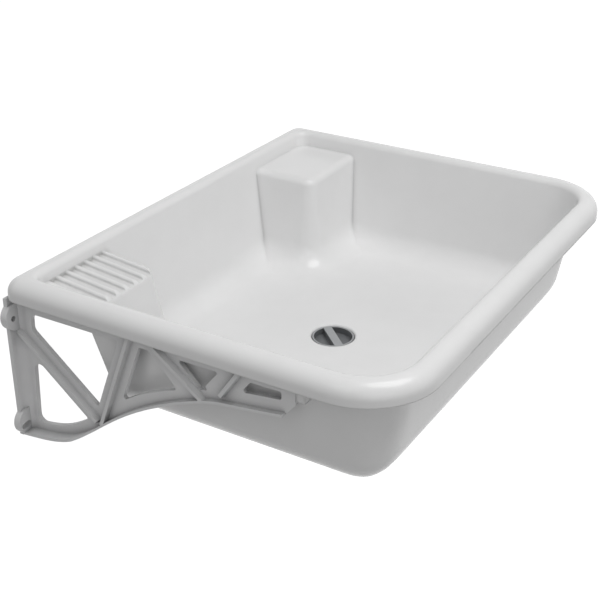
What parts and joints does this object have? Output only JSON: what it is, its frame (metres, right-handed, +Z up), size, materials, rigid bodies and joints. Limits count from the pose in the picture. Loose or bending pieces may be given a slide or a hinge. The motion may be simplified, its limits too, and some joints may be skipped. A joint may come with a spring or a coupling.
{
  "type": "wall-hung washbasin",
  "caption": "Rectangular moulded washbasin with rolled rim, grooved soap tray and corner block, held on two open truss wall brackets, with a waste outlet and lift-out plug.",
  "frame": {"origin": "midway between the two upper wall holes, on the wall plane", "axes": "+X to the right along the wall, +Y into the wall, +Z up; the front rim faces -Y"},
  "size_m": [0.5784, 0.45, 0.2135],
  "materials": {
    "basin": "glossy moulded, satin outside",
    "bracket": "satin moulded",
    "screw": "zinc plated",
    "seal": "matt",
    "pipe": "satin moulded",
    "plug": "satin"
  },
  "bodies": {
    "washbasin": {"basin": "basin", "bracket_left": "bracket", "bracket_right": "bracket", "bracket_screws_left": "screw", "bracket_screws_right": "screw", "outlet_seal": "seal", "outlet_tail": "pipe", "union_nut": "pipe"},
    "waste_plug": {"plug": "plug", "plug_seal": "seal"}
  },
  "joints": [
    {"name": "plug_lift", "type": "slide", "parent": "washbasin", "child": "waste_plug", "axis": [0, 0, 1], "range_m": [0, 0.17]}
  ]
}
